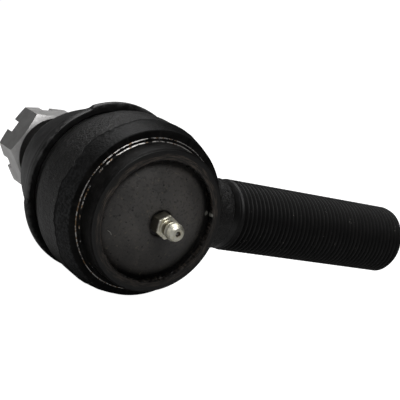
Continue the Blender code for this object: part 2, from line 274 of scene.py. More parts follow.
def joinMeshes(name, meshes):
    bm = bmesh.new()
    for mesh in meshes:
        bm.from_mesh(mesh)
    joined = bpy.data.meshes.new(name)
    bm.to_mesh(joined)
    bm.free()
    return joined


def turnedSolid(name, radius, station, angles):
    return welded(meshOf(name, aboutStud(radius, station, angles)))


def addPiece(name, mesh, body, materials, nodes=(), sharp=32.0):
    for material in materials:
        mesh.materials.append(material)
    mesh.shade_smooth()
    mesh.set_sharp_from_angle(angle=radians(sharp))
    piece = bpy.data.objects.new(name, mesh)
    bpy.context.scene.collection.objects.link(piece)
    if body:
        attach(piece, body)
    if nodes:
        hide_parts(*nodes)
    print(name, "made:", len(mesh.polygons), "faces")
    return piece


def plainMesh(piece, name):
    # what a piece and its live modifiers come to, as one mesh
    graph = bpy.context.evaluated_depsgraph_get()
    mesh = bpy.data.meshes.new_from_object(piece.evaluated_get(graph))
    mesh.name = name
    mesh.transform(piece.matrix_world)
    return mesh


def uneven(points, size, seed):
    # smooth noise between -1 and 1 at each point, for features of about that size in mm
    shift = Vector((seed * 17.3, seed * 5.1, seed * 9.7))
    flat = points.reshape(-1, 3) / (size * mm)
    values = [noise.noise(Vector(p) + shift) for p in flat]
    return np.array(values).reshape(points.shape[:-1])


# Finishes: scales are per metre and places are metres

marks = {
    "seam": (-12.0, -11.3),             # stations of the forged skin's end, mm
    "chip": (0.0219, 0.0050),           # across and up
    "scratch": (-0.0190, -0.0086),      # middle of the hair scratch's arc
    "relief": (0.0432, 0.0470),         # smooth neck behind the thread, along the shank
    "edge": (0.02864, 0.02890),         # radii of the rubbed edge of the front face
    "edgeStation": (-0.0194, -0.0188),
    "ridge": (0.02742, 0.02768),        # radii of the second, fainter line
    "ridgeStation": (-0.0197, -0.0190),
    "crest": (0.01372, 0.01425),        # radii over which a thread turns from root to crest
    "nutFace": (0.06122, 0.06130),      # stations of the nut's bearing face
}
bareSteel = colour(0.34, 0.34, 0.30)
rustBrown = colour(0.26, 0.17, 0.10)


def makeBlackForging():
    look = Finish("blackForging", Metallic=0.0, Specular_IOR_Level=0.42)
    grain = look.noise(look.place, 620.0, 5.0, 0.62)
    blotch = look.noise(look.place, 130.0, 4.0, 0.55)
    fine = look.noise(look.place, 2400.0, 3.0, 0.55)
    relief = look.x.band(*marks["relief"], 0.0002)
    height = (1.0 - relief) * (grain * 0.72 + fine * 0.28)
    base = look.mix(blotch.step(0.35, 0.7), grey(0.0026, 0.03), grey(0.0066, 0.05))
    base = look.mix((fine * grain).step(0.30, 0.42) * 0.5, base, grey(0.026, 0.06))
    base = look.mix(relief * 0.8, base, grey(0.0024, 0.02))
    speck = look.specks(900.0, (0.06, 0.14), 150.0, (0.56, 0.62))
    base = look.mix(speck, base, colour(0.30, 0.29, 0.25))
    sparkle = look.noise(look.place, 1700.0, 2.0, 0.5).step(0.56, 0.70) * (1.0 - relief)
    base = look.mix(sparkle * 0.5, base, grey(0.036, 0.04))
    seam = look.seam()
    # painted shadow along the forged skin's end
    base = look.mix(seam, base, grey(0.001))
    rough = 0.28 + grain * 0.26 + seam * 0.4
    return look.shade(Base_Color=base, Roughness=rough,
                      Normal=look.bump(height, 0.0007, 1.0))


def makeMachinedBlack(name, shine, isCone):
    look = Finish(name, Metallic=0.0, Specular_IOR_Level=shine)
    radius, across, up = look.about(look.x, look.z)
    blotch = look.noise(look.place, 150.0, 4.0, 0.6)
    smear = look.noise(look.vector(look.y * 700.0, across * 14.0, up * 14.0), 1.0, 4.0, 0.6)
    seam = look.seam()
    if isCone:  # grainy, with painted light: paler away from its top
        grain = look.noise(look.place, 1100.0, 4.0, 0.6)
        paintedLight = 1.0 - (up - across * 0.2).step(-0.1, 0.9) * 0.95
        base = look.mix(grain.step(0.40, 0.62) * paintedLight, grey(0.0040), grey(0.032, -0.03))
        normal = look.bump(grain, 0.00030, 0.7)
    else:       # turned rings under smears of coat
        rings = look.vector(radius * 9000.0, look.y * 9000.0, across * 1.5)
        tool = look.noise(rings, 1.0, 2.0, 0.5)
        base = look.mix(blotch.step(0.35, 0.7), grey(0.0045, 0.02), grey(0.0105, 0.04))
        base = look.mix(smear.step(0.52, 0.72) * 0.7, base, grey(0.020, 0.03))
        normal = look.bump(tool * 0.3 + smear * 0.7, 0.00005, 0.7)
    # painted shadow along the forged skin's end
    base = look.mix(seam, base, grey(0.001))
    # bright turned edges where the coat is rubbed off, broken and a little rusty; partly a painted
    # highlight, as they show more on the upper side
    wear = look.noise(look.place, 420.0, 5.0, 0.7)
    where = look.noise(look.vector(across * 2.2, up * 2.2, 0.0), 1.0, 2.0, 0.6)
    low = (0.0 - up).step(0.5, 0.9)
    upper = (across * 0.4 + up * 0.9).step(-0.2, 0.7)
    edge = (radius - low * 0.00022).band(*marks["edge"], 0.00007)
    edge = edge * look.y.band(*marks["edgeStation"], 0.0001)
    ridge = radius.band(*marks["ridge"], 0.00008) * look.y.band(*marks["ridgeStation"], 0.0001)
    bright = (edge * (wear + where * 0.9 + upper * 0.04 + low * 0.14).step(0.84, 0.97)
              + ridge * (wear + where + upper * 0.2).step(1.06, 1.14))
    rust = (look.noise(look.place, 800.0, 2.0, 0.5) - upper * 0.06).step(0.46, 0.58)
    base = look.mix(bright, base, look.mix(rust, grey(0.66, 0.03), rustBrown))
    rough = 0.30 + blotch * 0.16 + smear * 0.06 + seam * 0.4
    return look.shade(Base_Color=base, Roughness=rough, Metallic=bright * 0.8, Normal=normal)


def makeRimSteel():
    look = Finish("rimSteel", Metallic=0.0)
    radius, across, up = look.about(look.x, look.z)
    streaks = look.noise(look.vector(radius * 2600.0, across * 5.0, up * 5.0), 1.0, 4.0, 0.65)
    fine = look.noise(look.vector(radius * 9000.0, across * 22.0, up * 22.0), 1.0, 3.0, 0.6)
    blotch = look.noise(look.place, 260.0, 3.0, 0.6)
    wobble = look.noise(look.vector(across * 9.0, up * 9.0, 0.0), 1.0, 3.0, 0.6)
    worn = 1.0 - (radius + wobble * 0.0016).step(0.0256, 0.0262)
    lit = (up * 0.9 - across * 0.3).step(-0.6, 0.9) * 0.5 + 0.5
    base = look.mix(streaks.step(0.42, 0.66) * worn * lit, grey(0.005, 0.04),
                    colour(0.092, 0.073, 0.058))
    fleck = fine.step(0.58, 0.75) * blotch.step(0.4, 0.65) * worn
    base = look.mix(fleck, base, colour(0.135, 0.112, 0.095))
    # painted shadow: a ragged dark band along the rim's inner edge, for the shade in the gap over
    # the cover
    nick = look.noise(look.vector(across * 26.0, up * 26.0, 0.0), 1.0, 4.0, 0.7)
    torn = 1.0 - (radius - nick * 0.0022).step(0.0217, 0.0219)
    base = look.mix(torn, base, grey(0.002))
    base = look.mix(look.chip() * 0.8, base, bareSteel)
    rough = 0.36 + streaks * 0.25
    height = streaks * 0.6 + fine * 0.4
    return look.shade(Base_Color=base, Roughness=rough, Metallic=fine.step(0.5, 0.8) * worn * 0.4,
                      Normal=look.bump(height, 0.00012, 0.7))


def makeThreadBlack():
    look = Finish("threadBlack", Metallic=0.0, Specular_IOR_Level=0.32)
    radius = look.about(look.y, look.z)[0]
    spread = look.noise(look.place, 180.0, 4.0, 0.6)
    grain = look.noise(look.place, 2200.0, 3.0, 0.6)
    # painted shade: the roots are darker than the crests
    crest = radius.step(*marks["crest"])
    onCrest = look.mix(spread.step(0.35, 0.7), grey(0.005), grey(0.011, 0.03))
    base = look.mix(crest * 0.8, grey(0.0020), onCrest)
    speck = look.specks(700.0, (0.06, 0.12), 90.0, (0.55, 0.62))
    base = look.mix(speck, base, colour(0.30, 0.29, 0.26))
    rough = 0.42 + grain * 0.2 - crest * 0.06
    return look.shade(Base_Color=base, Roughness=rough, Normal=look.bump(grain, 0.00005, 0.6))


def makeCoverSteel():
    look = Finish("coverSteel", Metallic=0.0)
    radius, across, up = look.about(look.x, look.z)
    cloud = look.noise(look.place, 95.0, 5.0, 0.6)
    grain = look.noise(look.place, 1500.0, 4.0, 0.6)
    base = look.mix(cloud.step(0.32, 0.72), colour(0.038, 0.034, 0.031),
                    colour(0.082, 0.073, 0.065))
    # painted light and shade: lighter towards the top and the middle, with a painted shadow in the
    # corner under the rim
    litTopAndMiddle = look.z.step(-0.022, 0.010) * (1.0 - radius.step(0.010, 0.021) * 0.6)
    base = look.mix(litTopAndMiddle, look.mix(0.35, base, grey(0.012)), look.mix(0.35, base, grey(0.12)))
    # painted shadow of the rim on the cover's lower right edge
    corner = radius.step(0.0190, 0.0218) * (across * 0.8 - up * 0.6).step(-0.4, 0.6)
    base = look.mix(corner * 0.9, base, grey(0.003))
    # pale rubs, dark freckles, brown stains and small dark pits
    rub = look.noise(look.vector(look.x * 600.0, look.z * 190.0, 3.0), 1.0, 4.0, 0.7)
    rub = rub.step(0.64, 0.78)
    base = look.mix(rub * 0.6, base, colour(0.13, 0.12, 0.11))
    freckle = look.noise(look.place, 1000.0, 3.0, 0.6).step(0.52, 0.66)
    base = look.mix(freckle * 0.6, base, grey(0.020, 0.05))
    stain = look.noise(look.place, 700.0, 3.0, 0.6).step(0.60, 0.70)
    base = look.mix(stain * 0.6, base, colour(0.13, 0.115, 0.085))
    pit = look.specks(480.0, (0.12, 0.26), 300.0, (0.50, 0.58), detail=2.0)
    base = look.mix(pit * 0.85, base, grey(0.008))
    # the chip beside the rim and a hair scratch
    scratch = look.far(*marks["scratch"]).band(0.00235, 0.00252, 0.00006)
    scratch = scratch * look.x.step(-0.0186, -0.0184) * look.z.step(-0.0076, -0.0074)
    base = look.mix((look.chip() * 0.8).most(scratch * 0.9), base, bareSteel)
    height = grain * 0.25 - pit * 0.9 + cloud * 0.5
    rough = 0.40 + cloud * 0.12 + rub * 0.1
    return look.shade(Base_Color=base, Roughness=rough, Normal=look.bump(height, 0.00014, 0.8))


def makeZincPlate():
    look = Finish("zincPlate", Metallic=1.0)
    radius, across = look.about(look.x, look.z)[:2]
    cloud = look.noise(look.place, 700.0, 3.0, 0.6)
    tool = look.noise(look.vector(look.y * 12000.0, radius * 6000.0, across * 2.0), 1.0, 2.0, 0.5)
    base = look.mix(cloud.step(0.3, 0.75), colour(0.90, 0.86, 0.68), colour(1.0, 0.98, 0.88))
    # painted shadow on the hexagon's sides and round the waist, and dark brown in the nozzle's
    # mouth
    sides = look.y.step(-0.0336, -0.0330)
    waist = look.y.band(-0.0364, -0.0342, 0.0001) * (1.0 - radius.step(0.0026, 0.0031))
    mouth = (1.0 - radius.step(0.0008, 0.0012)) * (1.0 - look.y.step(-0.0408, -0.0400))
    base = look.mix(sides * 0.9, base, colour(0.09, 0.08, 0.06))
    base = look.mix(waist * 0.9, base, colour(0.10, 0.085, 0.05))
    base = look.mix(mouth, base, colour(0.08, 0.045, 0.025))
    rough = 0.38 + cloud * 0.18
    return look.shade(Base_Color=base, Roughness=rough,
                      Normal=look.bump(tool * 0.6 + cloud * 0.4, 0.00003, 0.6))


def makeBootRubber():
    look = Finish("bootRubber", Metallic=0.0)
    radius = look.about(look.x, look.z)[0]
    cloud = look.noise(look.place, 120.0, 5.0, 0.6)
    grain = look.noise(look.place, 1800.0, 4.0, 0.65)
    front = 1.0 - look.y.step(0.0122, 0.0150)
    inner = (1.0 - radius.step(0.0318, 0.0332)) * front
    dust = cloud.step(0.40, 0.72)
    base = look.mix(dust, grey(0.008), grey(0.019, 0.01))
    speck = look.specks(800.0, (0.05, 0.11), 120.0, (0.54, 0.60))
    mottle = look.noise(look.place, 420.0, 4.0, 0.7).step(0.45, 0.62)
    base = look.mix(front * mottle * 0.8, base, grey(0.062, 0.01))
    # painted shade: the lip's front face darkens towards its inner edge, in the groove against the
    # head
    base = look.mix(inner * 0.9, base, grey(0.004))
    base = look.mix(speck * (1.0 - inner), base, grey(0.22))
    rough = 0.46 + dust * 0.16 - front * (1.0 - mottle) * 0.16
    return look.shade(Base_Color=base, Roughness=rough,
                      Normal=look.bump(grain * 0.5 + cloud * 0.5, 0.0001, 0.6))


def makeNutSteel():
    look = Finish("nutSteel", Metallic=1.0)
    grain = look.noise(look.place, 2600.0, 4.0, 0.65)
    cloud = look.noise(look.place, 160.0, 4.0, 0.6)
    along = look.vector(look.x * 900.0, look.y * 120.0, look.z * 900.0)
    drawn = look.noise(along, 1.0, 3.0, 0.6)
    base = look.mix(cloud.step(0.3, 0.7), grey(0.66, 0.015), grey(0.80, 0.01))
    base = look.mix(drawn.step(0.58, 0.8) * 0.4, base, grey(0.92))
    base = look.mix(1.0 - look.y.step(*marks["nutFace"]), base, grey(0.14, 0.02))
    rough = 0.34 + grain * 0.18
    return look.shade(Base_Color=base, Roughness=rough,
                      Normal=look.bump(grain * 0.6 + drawn * 0.4, 0.00005, 0.7))


def makeTurnedSteel(name, shade, rough):
    look = Finish(name, Metallic=1.0)
    radius, across = look.about(look.x, look.z)[:2]
    rings = look.vector(radius * 5000.0, look.y * 7000.0, across * 1.5)
    tool = look.noise(rings, 1.0, 3.0, 0.55)
    cloud = look.noise(look.place, 220.0, 4.0, 0.6)
    base = look.mix(cloud.step(0.3, 0.7), grey(shade * 0.82, 0.02), grey(shade * 1.1))
    return look.shade(Base_Color=base, Roughness=rough + cloud * 0.14,
                      Normal=look.bump(tool * 0.7 + cloud * 0.3, 0.00004, 0.6))


blackForging = makeBlackForging()
coneBlack = makeMachinedBlack("coneBlack", 0.11, True)
faceBlack = makeMachinedBlack("faceBlack", 0.08, False)
rimSteel = makeRimSteel()
threadBlack = makeThreadBlack()
coverSteel = makeCoverSteel()
zincPlate = makeZincPlate()
bootRubber = makeBootRubber()
nutSteel = makeNutSteel()
studSteel = makeTurnedSteel("studSteel", 0.40, 0.30)
bearingSteel = makeTurnedSteel("bearingSteel", 0.46, 0.24)
springSteel = makeTurnedSteel("springSteel", 0.20, 0.34)
print("finishes made:", len(bpy.data.materials))


# Socket head: a turned forging whose front is machined and whose rim is spun over the cover

head = {
    "radius": 33.5,         # forged side
    "bandRadius": 33.35,    # back end of the machined cone
    "bandEnd": -11.7,       # where the tool stopped, give or take
    "faceRadius": 31.65,    # outer edge of the flat front face
    "faceStation": -19.0,
    "rimRadius": 27.2,
    "rimFront": -27.5,
    "uneven": 0.17,         # how far the forged side wanders
    "wander": 1.5,          # how far the machined cone's back edge wanders
    "ragged": 0.5,          # how far the rim's inner edge wanders
    "gap": 0.6,             # extra gap at the rim's torn side
    "tornSide": -40.0,
    "lipRadius": 22.5,      # the rim's inner edge
    "crown": 24.6,          # the rim's highest ring
    "limit": 33.82,         # no bump stands further out
    "sides": 372,
}


def headOutline():
    r, rim, front, face = head["radius"], head["rimRadius"], head["rimFront"], head["faceStation"]
    return [
        (29.4, 16.4, 0.5), (29.5, 14.9, 0.2), (28.2, 14.6, 0.2), (28.2, 11.9, 0.2),
        (29.4, 11.5, 0.8), (30.9, 9.2, 1.5), (32.6, 5.2, 2.5), (33.25, 2.4, 3.0), (r, -1.5, 3.0),
        (r, -9.8), (r + 0.06, head["bandEnd"] + 0.4, 0.2), (33.4, head["bandEnd"], 0.05),
        (head["bandRadius"], head["bandEnd"] - 0.5, 0.2),
        (32.75, -14.8, 2.0), (32.15, -16.9, 2.0), (head["faceRadius"], face + 0.25, 0.2),
        (head["faceRadius"] - 0.3, face, 0.15), (28.85, face, 0.06), (28.7, face - 0.22, 0.05),
        (27.7, face - 0.3, 0.05), (27.5, face - 0.55, 0.05), (rim + 0.05, face - 0.9, 0.3),
        (rim, -24.6, 0.5), (rim - 0.1, front + 0.75, 0.5), (rim - 0.75, front + 0.05, 0.5),
        (head["crown"], front + 0.02, 0.8), (23.0, front + 0.25, 0.3),
        (head["lipRadius"], front + 0.75, 0.2), (head["lipRadius"], front + 2.2, 0.2),
        (24.8, front + 2.9), (24.8, -21.5), (22.6, -21.5), (22.6, 10.9),
        (18.3, 10.9), (19.6, 16.4),
    ]


def makeHead():
    line = spaced(rounded(headOutline()), 0.8)
    radius, station, angles = turnedRows(line, head["sides"])
    points = aboutStud(radius, station, angles)
    rowRadius, rowStation = np.array(line).T
    outer = (rowRadius > 30.0) & (rowStation > -13.0) & (rowStation < 10.0)
    # the forged side wanders, and the machined cone cuts it along a ragged line
    rough = uneven(points, 9.0, 1) * 0.6 + uneven(points, 2.6, 2) * 0.4
    fade = (np.clip((rowStation + 12.3) / 1.2, 0.0, 1.0)
            * np.clip((10.0 - rowStation) / 3.0, 0.0, 1.0))
    ring = aboutStud(np.full_like(radius, 33.0), np.zeros_like(radius), angles)
    edgeWander = uneven(ring, 7.0, 3) * 1.2 + uneven(ring, 2.0, 4) * 0.8
    near = np.exp(-((rowStation - head["bandEnd"]) / 1.4) ** 2)
    station = station + (outer * near)[:, None] * edgeWander * head["wander"]
    radius = radius + (outer * fade)[:, None] * rough * head["uneven"]
    radius = np.minimum(radius, head["limit"])
    # the rim's inner edge is torn where it was spun down, more on one side
    front = rowStation < head["rimFront"] + 2.3
    torn = np.exp(-((rowRadius - head["lipRadius"]) / 0.6) ** 2) * front
    tear = uneven(ring, 2.4, 5) * 0.6 + uneven(ring, 0.9, 6) * 0.8
    wide = np.clip(0.35 + np.cos(angles - radians(head["tornSide"])), 0.0, 1.3) * head["gap"]
    radius = radius + torn[:, None] * (tear * head["ragged"] + wide[None, :])
    crown = np.exp(-((rowRadius - head["crown"]) / 1.6) ** 2) * front
    station = station + crown[:, None] * (uneven(ring, 6.0, 7) * 0.12 + 0.1)
    # slots: 0 forged, 1 rim, 2 cone, 3 flat front face
    slots = ((rowRadius < 26.9) & front & (rowRadius > 21.0)).astype(int)
    machined = (rowStation < head["bandEnd"] + 0.05) & (slots == 0) & (rowRadius > 26.0)
    slots[machined] = np.where(rowStation[machined] > head["faceStation"] + 0.12, 2, 3)
    mesh = meshOf("socketHead", aboutStud(radius, station, angles), slots=slots,
                  outline=rowStation)
    addPiece("socketHead", welded(mesh), "socket",
             [blackForging, rimSteel, coneBlack, faceBlack],
             ["socket_forging"], sharp=28.0)


# Neck: rolls off the shank onto the round head as the fillet of a forging does

neck = {
    "radius": 14.05,
    "fillet": 6.5,
    # turned smooth behind the thread: (along the shank, radius)
    "relief": [(46.4, 13.75), (45.6, 13.72), (44.4, 13.72), (43.6, 13.76), (43.25, 14.0)],
    "straight": 14,         # rows from the relief to the fillet
    "bend": 14,             # rows round the fillet
    "sink": 0.94,           # how deep the last row goes into the head
    "inside": 26.0,         # where it closes inside the head
    "uneven": 0.16,
    "lipReach": 34.7,       # the boot's lip passes over it out to this radius
    "lipStation": 11.7,
    "sides": 192,
}


def neckColumn(angle, profile):
    # one line of points from the relief, along the bar and round the fillet into the head
    fillet = neck["fillet"]
    side, up = cos(angle), sin(angle)
    centreY = (neck["radius"] + fillet) * side
    centreZ = (neck["radius"] + fillet) * up
    room = fillet ** 2 - (centreY - profile[:, 1]) ** 2
    away = np.where(room > 0.0, profile[:, 0] + np.sqrt(np.maximum(room, 0.0)), -1.0)
    best = int(np.argmax(away))
    if away[best] < 0.0:  # past the head's back edge: run straight into it
        best = int(np.argmin(np.abs(centreY - profile[:, 1])))
        away[best] = profile[best, 0] + 1.0
    centreX = sqrt(max(away[best] ** 2 - centreZ ** 2, 1.0))
    centre = np.array([centreX, centreY, centreZ])
    onNeck = np.array([centreX, neck["radius"] * side, neck["radius"] * up])
    share = profile[best, 0] / away[best]
    onHead = np.array([centreX * share, profile[best, 1], centreZ * share])
    column = [np.array([x, reach * side, reach * up]) for x, reach in neck["relief"]]
    start = neck["relief"][-1][0] - 0.15
    column += [np.array([start + (centreX - start) * k / neck["straight"], *onNeck[1:]])
               for k in range(neck["straight"])]
    first = onNeck - centre
    last = onHead - centre
    cosine = first @ last / np.linalg.norm(first) / np.linalg.norm(last)
    turn = np.arccos(np.clip(cosine, -1, 1))
    for k in range(neck["bend"] + 1):
        t = k / neck["bend"]
        if turn > 0.01:
            arm = (np.sin((1 - t) * turn) * first + np.sin(t * turn) * last) / np.sin(turn)
        else:
            arm = first * (1 - t) + last * t
        column.append(centre + arm)
    column.append(onHead * np.array([neck["sink"], 1.0, neck["sink"]]))
    return column


def makeNeck():
    side = [point[:2] for point in headOutline()[4:16]]  # from the boot's groove to the cone
    profile = np.array(spaced(side, 0.3, closed=False))
    angles = np.linspace(0.0, 2.0 * pi, neck["sides"], endpoint=False)
    columns = [neckColumn(angle, profile) for angle in angles]
    rows = np.array(columns).transpose(1, 0, 2) * mm
    wander = uneven(rows, 7.0, 8) * 0.7 + uneven(rows, 2.5, 9) * 0.3
    turned = len(neck["relief"])
    fade = np.ones(len(rows))
    fade[:turned] = 0.0
    fade[turned:turned + 3] = (0.3, 0.6, 0.9)
    outward = rows.copy()
    outward[..., 0] = 0.0
    outward /= np.linalg.norm(outward, axis=-1, keepdims=True)
    rows = rows + outward * (wander * fade[:, None] * neck["uneven"] * mm)[..., None]
    # flat where the boot's lip passes over it
    reach = np.hypot(rows[..., 0], rows[..., 2])
    lowered = np.minimum(rows[..., 1], neck["lipStation"] * mm)
    rows[..., 1] = np.where(reach < neck["lipReach"] * mm, lowered, rows[..., 1])
    # closed inside the shank and inside the head
    shankPole, headPole = (np.broadcast_to((x * mm, 0.0, 0.0), rows[:1].shape)
                           for x in (neck["relief"][0][0], neck["inside"]))
    rows = np.concatenate([shankPole, rows, headPole])
    mesh = meshOf("socketNeck", rows, closed=False, flip=True)
    addPiece("socketNeck", welded(mesh), "socket", [blackForging],
             ["socket_forging"])


# Threads: one tree cuts both the shank's and the stud's

# inch sizes; the keys are the tree's inputs
shankThread = {
    "Radius": 14.2875 * mm, "Neck Radius": 13.75 * mm, "Depth": 1.22 * mm,
    "Pitch": 25.4 / 12.0 * mm, "Start": 46.0 * mm, "Length": 92.0 * mm,
    "Run In": 3.2 * mm, "Chamfer": 2.2 * mm, "Sides": 112, "Steps": 10,
}
studThread = {
    "Radius": 9.525 * mm, "Neck Radius": 9.4 * mm, "Depth": 0.92 * mm,
    "Pitch": 25.4 / 16.0 * mm, "Start": 60.9 * mm, "Length": 21.1 * mm,
    "Run In": 1.6 * mm, "Chamfer": 1.2 * mm, "Sides": 72, "Steps": 8,
}


def makeThreadTree():
    group = bpy.data.node_groups.new("cutThread", "GeometryNodeTree")
    for name in ("Radius", "Neck Radius", "Depth", "Pitch", "Start", "Length", "Run In", "Chamfer"):
        group.interface.new_socket(name, in_out="INPUT", socket_type="NodeSocketFloat")
    for name in ("Sides", "Steps"):
        group.interface.new_socket(name, in_out="INPUT", socket_type="NodeSocketInt")
    group.interface.new_socket("Material", in_out="INPUT", socket_type="NodeSocketMaterial")
    group.interface.new_socket("Geometry", in_out="OUTPUT", socket_type="NodeSocketGeometry")
    tree = Tree(group)
    given = group.nodes.new("NodeGroupInput")
    value = {socket.name: Wire(tree, socket) for socket in given.outputs if socket.name}
    rows = ((value["Length"] / value["Pitch"] + 1.0) * value["Steps"]).maths("CEIL")
    grid = tree.node("GeometryNodeMeshGrid", None, {
        "Size X": 1.0, "Size Y": 1.0, "Vertices X": value["Sides"] + 1.0,
        "Vertices Y": rows + 1.0})
    across, along = tree.parts(tree.node("GeometryNodeInputPosition"))[:2]
    turn = across + 0.5
    # a row of the grid climbs one pitch a turn and ends on the row one pitch further on
    helix = (along + 0.5) * (rows / value["Steps"]) - 1.0
    distance = ((helix + turn) * value["Pitch"]).most(0.0).least(value["Length"])
    phase = helix.maths("FRACT")
    flank = (phase * 2.0 - 1.0).maths("ABSOLUTE").step(0.16, 0.84, soft=False)
    fade = (distance / value["Run In"]).least(1.0)
    swell = (distance / value["Pitch"] * 1.6).least(1.0)
    radius = value["Neck Radius"] + (value["Radius"] - value["Neck Radius"]) * swell
    radius = radius - value["Depth"] * flank * fade
    radius = radius.least(value["Radius"] - value["Chamfer"] + value["Length"] - distance)
    angle = turn * (2.0 * pi)
    point = tree.vector(value["Start"] + distance, radius * angle.maths("COSINE"),
                        radius * angle.maths("SINE"))
    moved = tree.node("GeometryNodeSetPosition", None, {"Geometry": grid, "Position": point})
    joined = tree.node("GeometryNodeMergeByDistance", None,
                       {"Geometry": moved, "Distance": weldReach})
    painted = tree.node("GeometryNodeSetMaterial", None,
                        {"Geometry": joined, "Material": value["Material"]})
    out = group.nodes.new("NodeGroupOutput")
    tree.plug(out.inputs[0], painted)
    return group


def cutThread(tree, sizes, material, name):
    holder = bpy.data.objects.new(name, bpy.data.meshes.new(name))
    bpy.context.scene.collection.objects.link(holder)
    modifier = holder.modifiers.new("Thread", "NODES")
    modifier.node_group = tree
    for item in tree.interface.items_tree:
        if item.in_out == "INPUT":
            modifier[item.identifier] = material if item.name == "Material" else sizes[item.name]
    mesh = plainMesh(holder, name)
    bpy.data.objects.remove(holder)
    return mesh


shankEnd = {"face": 138.0, "radius": 12.0875, "centre": 3.0, "drill": 1.1}


def makeShank(tree):
    # the bar's end face, with the lathe centre in it
    s = shankEnd
    cone = s["face"] - (s["centre"] - s["drill"]) * sqrt(3.0)
    line = [(s["radius"], s["face"]), (8.0, s["face"]), (s["centre"] + 0.15, s["face"]),
            (s["centre"], s["face"] - 0.15), (s["drill"], cone), (s["drill"], cone - 1.4),
            (0.0, cone - 2.0)]
    rows = aboutShank(*turnedRows(line, shankThread["Sides"]))
    face = meshOf("shankFace", rows, closed=False)
    thread = cutThread(tree, shankThread, threadBlack, "shankThread")
    mesh = joinMeshes("threadedShank", [thread, face])
    addPiece("threadedShank", capped(welded(mesh)), "socket", [threadBlack],
             ["socket_forging"], sharp=24.0)


# End cover, domed out of the rim, with a counterbore round the grease fitting

cover = {"centre": -29.4, "rise": 5.5, "curve": 2.6, "rimRadius": 22.4, "sides": 256}


def coverStation(radius):
    return cover["centre"] + cover["rise"] * (radius / cover["rimRadius"]) ** cover["curve"]


def makeCover():
    domed = [22.0, 21.6, 20.6, 19.2, 17.5, 15.5, 13.5, 11.5, 9.5, 7.8, 6.4, 5.6]
    line = [(3.4, -26.8), (20.0, -23.1), (21.6, -21.8), (24.4, -21.8), (24.4, -23.5),
            (22.9, -23.6), (22.4, -23.8)]
    line += [(r, coverStation(r)) for r in domed]
    lip = coverStation(5.2)
    line += [(5.2, lip + 0.05), (4.95, lip + 0.2), (4.85, lip + 1.0), (4.7, lip + 1.15),
             (3.4, lip + 1.2)]
    line = spaced(line, 1.2)
    radius, station, angles = turnedRows(line, cover["sides"])
    points = aboutStud(radius, station, angles)
    rowRadius, rowStation = np.array(line).T
    front = (rowStation < -24.6) & (rowRadius > 5.0)
    dent = uneven(points, 6.0, 11) * 0.05 + uneven(points, 14.0, 12) * 0.09
    station = station + front[:, None] * dent
    addPiece("endCover", turnedSolid("endCover", radius, station, angles), "socket",
             [coverSteel], ["end_cover"], sharp=30.0)


# Grease fitting: hexagon, neck, collar and coned nozzle with its ball

fitting = {"flats": 7.94, "turn": 92.0, "hexBack": -28.9, "hexFront": -34.1,
           "ball": 0.9, "ballStation": -39.75, "sides": 192}


def hexRadius(angles, flats, turn):
    # distance to a hexagon's side at each angle; its corners lie at turn + 60k degrees
    local = np.mod(angles - radians(turn) + pi / 6.0, pi / 3.0) - pi / 6.0
    return flats / 2.0 / np.cos(pi / 6.0 - np.abs(local))


def makeFitting():
    f = fitting
    front, back = f["hexFront"], f["hexBack"]
    # rows at radius 6 become the hexagon
    line = rounded([
        (3.1, -26.1), (3.1, -28.6, 0.1), (6.0, back), (6.0, back - 0.3), (6.0, front + 0.85),
        (6.0, front + 0.6), (6.0, front + 0.4), (6.0, front + 0.2), (3.75, front, 0.1),
        (3.0, front - 0.02, 0.1), (2.45, front - 0.5, 0.25), (2.4, -36.4, 0.15), (3.2, -36.7, 0.15),
        (3.3, -37.3, 0.05), (3.15, -37.5, 0.05), (3.38, -37.7, 0.1), (3.4, -38.9, 0.3),
        (2.95, -40.3, 0.4), (2.1, -41.05, 0.3), (0.98, -41.1, 0.08), (0.85, -40.85, 0.05),
        (0.72, -40.5), (1.2, -39.9), (1.2, -26.1)])
    radius, station, angles = turnedRows(line, f["sides"])
    side = hexRadius(angles, f["flats"], f["turn"])
    frontChamfer = 4.0 + (station - front) * 1.6
    backChamfer = 4.5 + (back - station) * 2.2
    hexagon = np.minimum(np.minimum(side[None, :], frontChamfer), backChamfer)
    radius = np.where(radius > 5.0, hexagon, radius)
    addPiece("greaseFitting", turnedSolid("greaseFitting", radius, station, angles),
             "socket", [zincPlate], ["grease_fitting"], sharp=26.0)
    bm = bmesh.new()
    bmesh.ops.create_uvsphere(bm, u_segments=32, v_segments=20, radius=f["ball"] * mm,
                              matrix=Matrix.Translation((0.0, f["ballStation"] * mm, 0.0)))
    ball = bpy.data.meshes.new("nozzleBall")
    bm.to_mesh(ball)
    bm.free()
    addPiece("nozzleBall", ball, "socket", [bearingSteel], ["fitting_check_ball"])


# Boot: the lip sits in the head's groove, the dome stretches between the socket and the stud

boot = {
    "lipRadius": 33.9, "reliefRadius": 32.9, "reliefFrom": 116.0, "reliefTo": 198.0,
    "front": 12.0, "sides": 320, "domeSides": 288,
}


